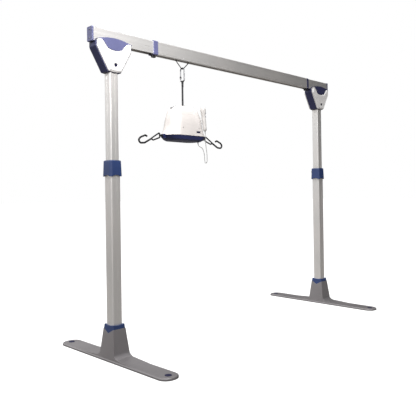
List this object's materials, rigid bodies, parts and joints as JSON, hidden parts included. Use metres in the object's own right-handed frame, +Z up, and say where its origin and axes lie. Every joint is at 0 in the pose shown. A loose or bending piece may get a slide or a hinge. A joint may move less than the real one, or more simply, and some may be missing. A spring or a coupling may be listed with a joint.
{
  "type": "patient lift hoist",
  "caption": "Free-standing overhead patient lift: two telescopic posts on long feet carry a telescopic rail, with a trolley, strap hoist, sling hooks and handset.",
  "frame": {"origin": "middle of the span between the posts, on the floor", "axes": "+X along the rail towards the post farther from the hoist, -Y the front, +Z up"},
  "size_m": [2.88, 1.22, 2.253],
  "materials": {
    "foot_grey": "cast aluminium, grey powder coat",
    "collar_navy": "moulded plastic, navy",
    "accent_blue": "moulded plastic, violet blue",
    "plug_dark": "moulded plastic, near black",
    "aluminium": "satin anodised extrusion",
    "cover_white": "moulded plastic, white",
    "core_navy": "moulded plastic, dark navy",
    "steel": "zinc plated steel",
    "black_steel": "black coated steel",
    "rubber": "black rubber",
    "webbing": "woven polyester webbing",
    "hull_navy": "moulded plastic, navy",
    "black_plastic": "moulded plastic, black",
    "handset_grey": "moulded plastic, pale grey",
    "cord_grey": "pale grey sheath",
    "motor_steel": "painted motor can",
    "brass": "machined bronze",
    "board_green": "circuit board",
    "dome_white": "moulded plastic, warm white",
    "control_grey": "emergency control"
  },
  "bodies": {
    "left_stand": {"left_foot": "foot_grey", "left_foot_collar": "collar_navy", "left_foot_plugs": "plug_dark", "left_lower_tube": "aluminium", "left_mid_collar": "collar_navy"},
    "left_height_lock": {"left_height_pin": "black_plastic"},
    "left_upper": {"left_upper_tube": "aluminium", "left_head_core": "core_navy", "left_head_covers": "cover_white", "left_head_saddle": "accent_blue", "left_head_bolts": "plug_dark", "rail_left": "aluminium", "left_end_cap": "accent_blue"},
    "rail": {"rail_centre": "aluminium", "rail_collar_left": "accent_blue", "rail_trim_right": "core_navy", "trolley_stops": "rubber"},
    "left_rail_lock": {"left_rail_pin": "black_plastic"},
    "right_rail_lock": {"right_rail_pin": "black_plastic"},
    "right_upper": {"right_upper_tube": "aluminium", "right_head_core": "core_navy", "right_head_covers": "cover_white", "right_head_saddle": "core_navy", "right_head_bolts": "plug_dark", "rail_right": "aluminium", "right_end_cap": "core_navy"},
    "right_stand": {"right_foot": "foot_grey", "right_foot_collar": "collar_navy", "right_foot_plugs": "plug_dark", "right_lower_tube": "aluminium", "right_mid_collar": "collar_navy"},
    "right_height_lock": {"right_height_pin": "black_plastic"},
    "trolley": {"trolley_chassis": "steel", "trolley_bail": "black_steel"},
    "wheels_left": {"trolley_wheels_left": "black_plastic"},
    "wheels_right": {"trolley_wheels_right": "black_plastic"},
    "carabiner": {"carabiner_ring": "steel"},
    "gate": {"carabiner_gate": "steel"},
    "lift_unit": {"unit_cover": "dome_white", "unit_hull": "hull_navy", "unit_frame": "steel", "lift_motor": "motor_steel", "battery_pack": "black_plastic", "control_board": "board_green", "charge_cap": "plug_dark", "unit_grommets": "black_plastic", "hook_brackets": "hull_navy", "handset_back": "handset_grey", "handset_front": "handset_grey", "handset_holder": "handset_grey", "handset_cord": "cord_grey", "lifting_strap": "webbing"},
    "drum": {"strap_drum": "steel", "worm_wheel": "brass"},
    "worm": {"drive_worm": "steel"},
    "emergency": {"emergency_control": "control_grey"},
    "left_hook": {"left_sling_hook": "black_steel"},
    "right_hook": {"right_sling_hook": "black_steel"},
    "up_button": {"handset_up_button": "accent_blue"},
    "down_button": {"handset_down_button": "accent_blue"}
  },
  "joints": [
    {"name": "left_height", "type": "slide", "parent": "left_stand", "child": "left_upper", "axis": [0, 0, 1], "range_m": [-0.3, 0.24]},
    {"name": "left_height_pin_pull", "type": "slide", "parent": "left_stand", "child": "left_height_lock", "axis": [0, 1, 0], "range_m": [0, 0.008], "stiffness_N_per_m": 900},
    {"name": "left_telescope", "type": "slide", "parent": "left_upper", "child": "rail", "axis": [1, 0, 0], "range_m": [-0.18, 0.12]},
    {"name": "left_rail_pin_pull", "type": "slide", "parent": "rail", "child": "left_rail_lock", "axis": [0, 0, -1], "range_m": [0, 0.008], "stiffness_N_per_m": 900},
    {"name": "right_rail_pin_pull", "type": "slide", "parent": "rail", "child": "right_rail_lock", "axis": [0, 0, -1], "range_m": [0, 0.008], "stiffness_N_per_m": 900},
    {"name": "right_telescope", "type": "slide", "parent": "rail", "child": "right_upper", "axis": [1, 0, 0], "range_m": [-0.03, 0.35]},
    {"name": "right_height", "type": "slide", "parent": "right_upper", "child": "right_stand", "axis": [0, 0, 1], "range_m": [-0.24, 0.3]},
    {"name": "right_height_pin_pull", "type": "slide", "parent": "right_stand", "child": "right_height_lock", "axis": [0, 1, 0], "range_m": [0, 0.008], "stiffness_N_per_m": 900},
    {"name": "trolley_travel", "type": "slide", "parent": "rail", "child": "trolley", "axis": [1, 0, 0], "range_m": [-0.084, 1.34]},
    {"name": "wheels_left_spin", "type": "hinge", "parent": "trolley", "child": "wheels_left", "pos_m": [-0.648, 0, 2.1723], "axis": [0, 1, 0], "range_deg": [-284.1, 4517.3]},
    {"name": "wheels_right_spin", "type": "hinge", "parent": "trolley", "child": "wheels_right", "pos_m": [-0.552, 0, 2.1723], "axis": [0, 1, 0], "range_deg": [-284.1, 4517.3]},
    {"name": "carabiner_swing", "type": "hinge", "parent": "trolley", "child": "carabiner", "pos_m": [-0.6, 0, 2.092], "axis": [1, 0, 0], "range_deg": [-20, 20]},
    {"name": "gate_open", "type": "hinge", "parent": "carabiner", "child": "gate", "pos_m": [-0.6, 0.0205, 2.0315], "axis": [1, 0, 0], "range_deg": [0, 22], "stiffness_Nm_per_rad": 0.05},
    {"name": "hoist", "type": "slide", "parent": "carabiner", "child": "lift_unit", "axis": [0, 0, 1], "range_m": [-1, 0.05], "deforming": ["lifting_strap"]},
    {"name": "drum_spin", "type": "hinge", "parent": "lift_unit", "child": "drum", "pos_m": [-0.6298, 0, 1.69], "axis": [0, 1, 0], "range_deg": [-1924.7, 98.1]},
    {"name": "worm_spin", "type": "hinge", "parent": "lift_unit", "child": "worm", "pos_m": [-0.6298, 0.038, 1.646], "axis": [1, 0, 0], "range_deg": [-69236.4, 3480.8]},
    {"name": "emergency_press", "type": "slide", "parent": "lift_unit", "child": "emergency", "axis": [0.342, 0, -0.9397], "range_m": [0, 0.003], "stiffness_N_per_m": 600},
    {"name": "left_hook_fold", "type": "hinge", "parent": "lift_unit", "child": "left_hook", "pos_m": [-0.805, 0, 1.56], "axis": [0, 1, 0], "range_deg": [-25, 70]},
    {"name": "right_hook_fold", "type": "hinge", "parent": "lift_unit", "child": "right_hook", "pos_m": [-0.395, 0, 1.56], "axis": [0, 1, 0], "range_deg": [-70, 25]},
    {"name": "up_press", "type": "slide", "parent": "lift_unit", "child": "up_button", "axis": [-0.7046, 0.7046, -0.0837], "range_m": [0, 0.0015], "stiffness_N_per_m": 400},
    {"name": "down_press", "type": "slide", "parent": "lift_unit", "child": "down_button", "axis": [-0.7046, 0.7046, -0.0837], "range_m": [0, 0.0015], "stiffness_N_per_m": 400}
  ],
  "couplings": [
    {"joint": "right_height", "follows": "left_height", "ratio": -1},
    {"joint": "wheels_left_spin", "follows": "trolley_travel", "rad_per_m": 58.824},
    {"joint": "wheels_right_spin", "follows": "trolley_travel", "rad_per_m": 58.824},
    {"joint": "drum_spin", "follows": "hoist", "rad_per_m": 33.557},
    {"joint": "worm_spin", "follows": "hoist", "rad_per_m": 1208.1}
  ]
}
